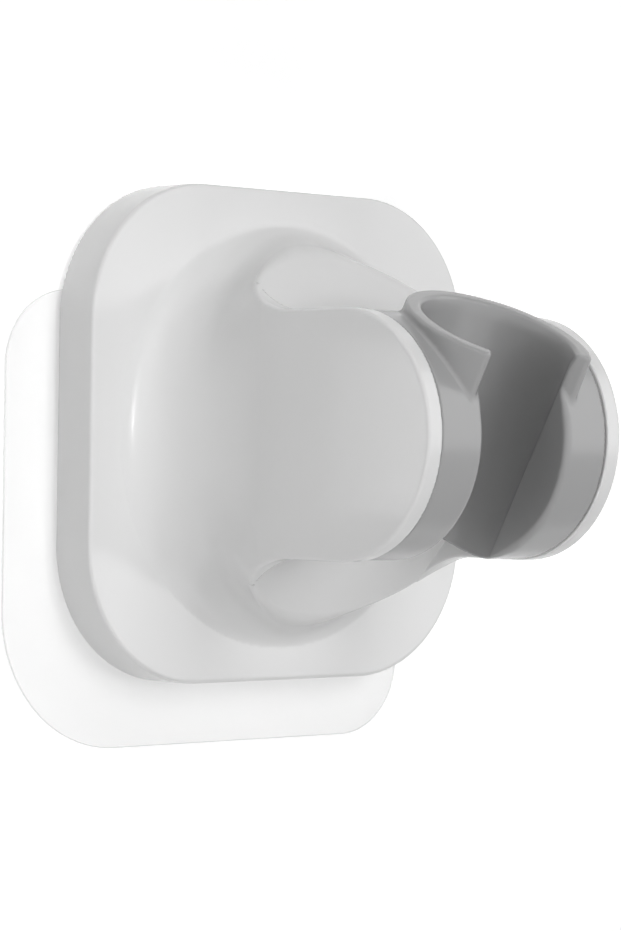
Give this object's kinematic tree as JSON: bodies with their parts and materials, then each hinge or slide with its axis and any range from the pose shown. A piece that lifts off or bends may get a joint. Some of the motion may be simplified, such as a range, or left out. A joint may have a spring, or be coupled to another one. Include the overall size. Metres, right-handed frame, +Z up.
{
  "type": "shower head holder",
  "caption": "Adhesive wall holder for a hand shower: rounded square plate flaring into a fork that carries a tilting slotted cup.",
  "frame": {"origin": "point on the wall behind the middle of the base plate, on the back face of the adhesive film", "axes": "+Y into the wall, -Y out into the room, +Z up, X level along the wall"},
  "size_m": [0.0857, 0.0632, 0.0859],
  "materials": {
    "white_plastic": "glossy white moulded plastic",
    "grey_plastic": "glossy mid-grey moulded plastic",
    "plate_plastic": "satin white moulded plastic",
    "clear_film": "clear self-adhesive film",
    "steel": "bright stainless steel",
    "acetal": "natural bearing plastic",
    "rubber": "black rubber"
  },
  "bodies": {
    "base": {"base_shell": "white_plastic", "back_plate": "plate_plastic", "adhesive_film": "clear_film", "plate_screw_upper_left": "steel", "plate_screw_upper_right": "steel", "plate_screw_lower_left": "steel", "plate_screw_lower_right": "steel"},
    "cup": {"swivel_cup": "grey_plastic", "pivot_bush_left": "acetal", "pivot_bush_right": "acetal", "pivot_pin_left": "steel", "pivot_pin_right": "steel", "pivot_spring_left": "steel", "pivot_spring_right": "steel", "friction_ring_left": "rubber", "friction_ring_right": "rubber"}
  },
  "joints": [
    {"name": "cup_tilt", "type": "hinge", "parent": "base", "child": "cup", "pos_m": [0, -0.0429, 0], "axis": [1, 0, 0], "range_deg": [-36, 32]}
  ]
}
